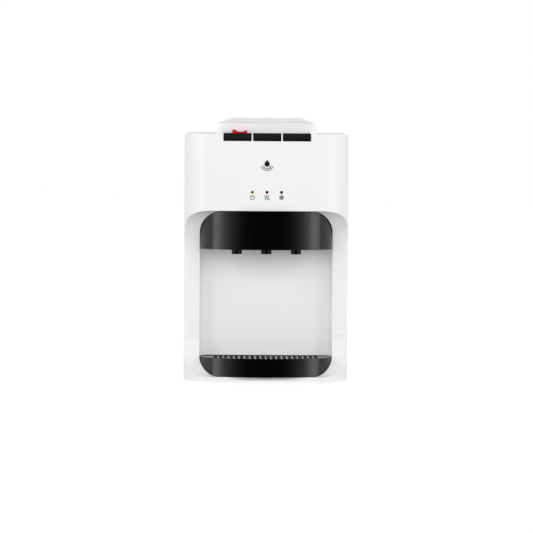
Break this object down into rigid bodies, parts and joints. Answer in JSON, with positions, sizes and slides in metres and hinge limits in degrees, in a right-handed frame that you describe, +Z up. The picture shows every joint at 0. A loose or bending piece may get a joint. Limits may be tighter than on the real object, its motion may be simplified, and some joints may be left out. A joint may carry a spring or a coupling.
{
  "type": "countertop water dispenser",
  "caption": "Countertop bottle-top water dispenser with push-button taps over a cup recess, a child lock, a bottle collar and a slide-out drip tray.",
  "frame": {"origin": "centre of the bounding box on the surface it stands on", "axes": "+Z up, -Y towards the user, +X to the right seen from the front"},
  "size_m": [0.3124, 0.33, 0.495],
  "materials": {
    "white_shell": "satin moulded",
    "white_liner": "fine satin",
    "black_gloss": "gloss moulded",
    "black_button": "satin moulded",
    "black_tap": "satin moulded",
    "red_lock": "gloss moulded",
    "steel": "brushed",
    "spring_steel": "drawn wire",
    "sheet_metal": "galvanised",
    "aluminium": "extruded",
    "brass": "plain",
    "foam": "expanded beads",
    "ceramic_white": "matt",
    "circuit": "solder mask",
    "component": "moulded",
    "silicone": "translucent hose",
    "rubber_dark": "matt",
    "ivory_plastic": "food grade",
    "white_rod": "acetal",
    "lens_olive": "tinted lens",
    "lens_red": "tinted lens",
    "lens_green": "tinted lens",
    "emblem_dark": "printed badge",
    "switch_red": "moulded",
    "switch_green": "moulded"
  },
  "bodies": {
    "cabinet": {"base_pan": "white_shell", "foot_pads": "rubber_dark", "front_frame": "white_shell", "recess_liner": "white_liner", "front_fascia": "white_shell", "tap_apron": "black_gloss", "side_panel_left": "white_shell", "side_panel_right": "white_shell", "side_grip_left": "white_liner", "side_grip_right": "white_liner", "rear_panel": "white_liner", "top_cover": "white_shell", "bottle_collar": "white_shell", "bottle_funnel": "white_liner", "feed_probe": "ivory_plastic", "button_axle": "steel", "tap_bracket": "white_liner", "tap_body_hot": "component", "tap_body_room": "component", "tap_body_cold": "component", "nozzle_hot": "black_tap", "nozzle_room": "black_tap", "nozzle_cold": "black_tap", "indicator_board": "circuit", "led_power": "lens_olive", "led_heat": "lens_red", "led_cool": "lens_green", "emblem": "emblem_dark", "tank_shelf": "sheet_metal", "hot_tank": "steel", "heater_band": "brass", "thermostats": "component", "cold_tank": "steel", "cold_jacket": "foam", "water_separator": "ivory_plastic", "cold_block": "aluminium", "peltier_module": "ceramic_white", "heat_sink": "aluminium", "fan_frame": "component", "power_board": "circuit", "silicone_hoses": "silicone", "drain_pipe": "ivory_plastic", "cord_gland": "rubber_dark", "case_screws": "steel"},
    "tray": {"drip_tray": "black_gloss"},
    "grille": {"drip_grille": "black_gloss"},
    "button_hot": {"button_hot": "black_button"},
    "rod_hot": {"push_rod_hot": "white_rod", "return_spring_hot": "spring_steel"},
    "button_room": {"button_room": "black_button"},
    "rod_room": {"push_rod_room": "white_rod", "return_spring_room": "spring_steel"},
    "button_cold": {"button_cold": "black_button"},
    "rod_cold": {"push_rod_cold": "white_rod", "return_spring_cold": "spring_steel"},
    "lock": {"child_lock": "red_lock"},
    "fan": {"fan_rotor": "component"},
    "heat_switch": {"rocker_heat": "switch_red"},
    "cool_switch": {"rocker_cool": "switch_green"},
    "drain_cap": {"drain_cap": "white_shell"}
  },
  "joints": [
    {"name": "tray_slide", "type": "slide", "parent": "cabinet", "child": "tray", "axis": [0, -1, 0], "range_m": [0, 0.1]},
    {"name": "grille_lift", "type": "slide", "parent": "tray", "child": "grille", "axis": [0, 0, 1], "range_m": [0, 0.04]},
    {"name": "press_hot", "type": "hinge", "parent": "cabinet", "child": "button_hot", "pos_m": [-0.0556, -0.094, 0.455], "axis": [1, 0, 0], "range_deg": [0, 4], "stiffness_Nm_per_rad": 0.6, "springref_deg": -6.88},
    {"name": "push_hot", "type": "slide", "parent": "cabinet", "child": "rod_hot", "axis": [0, 0, -1], "range_m": [0, 0.00224], "deforming": ["return_spring_hot"]},
    {"name": "press_room", "type": "hinge", "parent": "cabinet", "child": "button_room", "pos_m": [0, -0.094, 0.455], "axis": [1, 0, 0], "range_deg": [0, 4], "stiffness_Nm_per_rad": 0.6, "springref_deg": -6.88},
    {"name": "push_room", "type": "slide", "parent": "cabinet", "child": "rod_room", "axis": [0, 0, -1], "range_m": [0, 0.00224], "deforming": ["return_spring_room"]},
    {"name": "press_cold", "type": "hinge", "parent": "cabinet", "child": "button_cold", "pos_m": [0.0556, -0.094, 0.455], "axis": [1, 0, 0], "range_deg": [0, 4], "stiffness_Nm_per_rad": 0.6, "springref_deg": -6.88},
    {"name": "push_cold", "type": "slide", "parent": "cabinet", "child": "rod_cold", "axis": [0, 0, -1], "range_m": [0, 0.00224], "deforming": ["return_spring_cold"]},
    {"name": "lock_slide", "type": "slide", "parent": "button_hot", "child": "lock", "axis": [-1, 0, 0], "range_m": [0, 0.008]},
    {"name": "fan_spin", "type": "hinge", "parent": "cabinet", "child": "fan", "pos_m": [0, 0.12, 0.34], "axis": [0, 1, 0], "continuous": true},
    {"name": "heat_rocker", "type": "hinge", "parent": "cabinet", "child": "heat_switch", "pos_m": [0.08, 0.1515, 0.41], "axis": [-1, 0, 0], "range_deg": [0, 20]},
    {"name": "cool_rocker", "type": "hinge", "parent": "cabinet", "child": "cool_switch", "pos_m": [0.11, 0.1515, 0.41], "axis": [-1, 0, 0], "range_deg": [0, 20]},
    {"name": "drain_turn", "type": "hinge", "parent": "cabinet", "child": "drain_cap", "pos_m": [-0.07, 0.158, 0.04], "axis": [0, 1, 0], "range_deg": [0, 360]}
  ],
  "couplings": [
    {"joint": "push_hot", "follows": "press_hot", "m_per_rad": 0.032},
    {"joint": "push_room", "follows": "press_room", "m_per_rad": 0.032},
    {"joint": "push_cold", "follows": "press_cold", "m_per_rad": 0.032}
  ]
}
